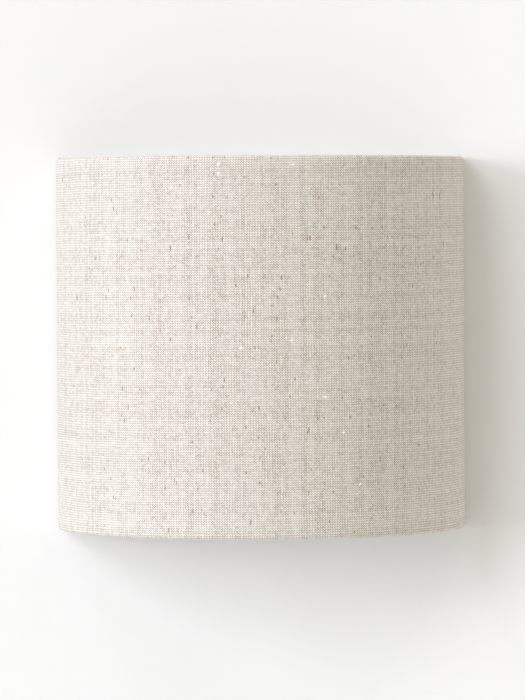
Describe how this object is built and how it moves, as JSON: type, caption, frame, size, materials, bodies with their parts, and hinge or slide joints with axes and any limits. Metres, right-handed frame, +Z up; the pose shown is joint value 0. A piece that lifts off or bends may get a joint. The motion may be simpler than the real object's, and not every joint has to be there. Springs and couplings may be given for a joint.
{
  "type": "half-round fabric wall light",
  "caption": "Half-drum linen wall light, open above and below, with a slide-on wire-framed shade, steel wall bracket, upright screw lampholder and opal bulb.",
  "frame": {"origin": "on the wall, at the middle of the wall plate's back face, behind the shade's centre", "axes": "+Y into the wall, -Y out of it, +Z up, +X to the right as seen from the room"},
  "size_m": [0.22, 0.11, 0.2],
  "materials": {
    "linen": "woven oatmeal linen",
    "liner": "white laminate sheet",
    "frame_wire": "white powder coat",
    "plate": "white powder coat",
    "zinc_steel": "bright zinc plate",
    "nickel": "satin nickel plate",
    "rubber": "moulded black rubber",
    "terminal_plastic": "natural polyamide",
    "brass": "turned brass",
    "tinned_copper": "tinned",
    "holder_plastic": "moulded white thermoplastic",
    "ceramic": "glazed",
    "brown_wire": "brown insulation",
    "blue_wire": "blue insulation",
    "green_wire": "green and yellow insulation",
    "opal": "opal diffuser",
    "bulb_plastic": "white moulded collar",
    "board": "white solder mask",
    "black_glass": "black glass insulator",
    "solder": "solder",
    "nylon": "natural nylon"
  },
  "bodies": {
    "bracket": {"wall_plate": "plate", "weld_nuts": "zinc_steel", "cable_bush": "rubber", "arm_bush": "rubber", "terminal_housing": "terminal_plastic", "terminal_barrels": "brass", "terminal_screws": "zinc_steel", "terminal_fixings": "zinc_steel", "earth_screw": "brass", "earth_washer": "zinc_steel", "earth_tag": "tinned_copper", "lamp_arm": "plate", "arm_screws": "zinc_steel", "holder_nipple": "zinc_steel", "holder_nut": "zinc_steel", "holder_cap": "holder_plastic", "holder_skirt": "holder_plastic", "holder_insert": "ceramic", "holder_terminals": "brass", "holder_terminal_screws": "zinc_steel", "screw_shell": "brass", "contact_spring": "brass", "live_wire": "brown_wire", "neutral_wire": "blue_wire", "earth_wire": "green_wire"},
    "shade": {"shade_fabric": "linen", "shade_liner": "liner", "top_ring": "frame_wire", "bottom_ring": "frame_wire", "left_strut": "frame_wire", "right_strut": "frame_wire", "left_hanger_bar": "frame_wire", "right_hanger_bar": "frame_wire"},
    "bulb_carrier": {"bulb_contact": "solder"},
    "bulb": {"bulb_globe": "opal", "bulb_collar": "bulb_plastic", "bulb_board": "board", "bulb_cap": "nickel", "bulb_insulator": "black_glass"},
    "left_clamp": {"left_washer": "nylon"},
    "left_thumb": {"left_thumb_screw": "nickel"},
    "right_clamp": {"right_washer": "nylon"},
    "right_thumb": {"right_thumb_screw": "nickel"}
  },
  "joints": [
    {"name": "shade_pull", "type": "slide", "parent": "bracket", "child": "shade", "axis": [0, -1, 0], "range_m": [0, 0.12]},
    {"name": "bulb_rise", "type": "slide", "parent": "bracket", "child": "bulb_carrier", "axis": [0, 0, 1], "range_m": [0, 0.01633]},
    {"name": "bulb_turn", "type": "hinge", "parent": "bulb_carrier", "child": "bulb", "pos_m": [0, -0.058, 0], "axis": [0, 0, 1], "range_deg": [0, 1620]},
    {"name": "left_clamp_travel", "type": "slide", "parent": "bracket", "child": "left_clamp", "axis": [-1, 0, 0], "range_m": [0, 0.00245]},
    {"name": "left_thumb_turn", "type": "hinge", "parent": "left_clamp", "child": "left_thumb", "pos_m": [-0.058, -0.01, 0.035], "axis": [-1, 0, 0], "range_deg": [0, 1260]},
    {"name": "right_clamp_travel", "type": "slide", "parent": "bracket", "child": "right_clamp", "axis": [1, 0, 0], "range_m": [0, 0.00245]},
    {"name": "right_thumb_turn", "type": "hinge", "parent": "right_clamp", "child": "right_thumb", "pos_m": [0.058, -0.01, 0.035], "axis": [1, 0, 0], "range_deg": [0, 1260]}
  ],
  "couplings": [
    {"joint": "bulb_turn", "follows": "bulb_rise", "rad_per_m": 1731.4},
    {"joint": "left_thumb_turn", "follows": "left_clamp_travel", "rad_per_m": 8976},
    {"joint": "right_thumb_turn", "follows": "right_clamp_travel", "rad_per_m": 8976}
  ]
}
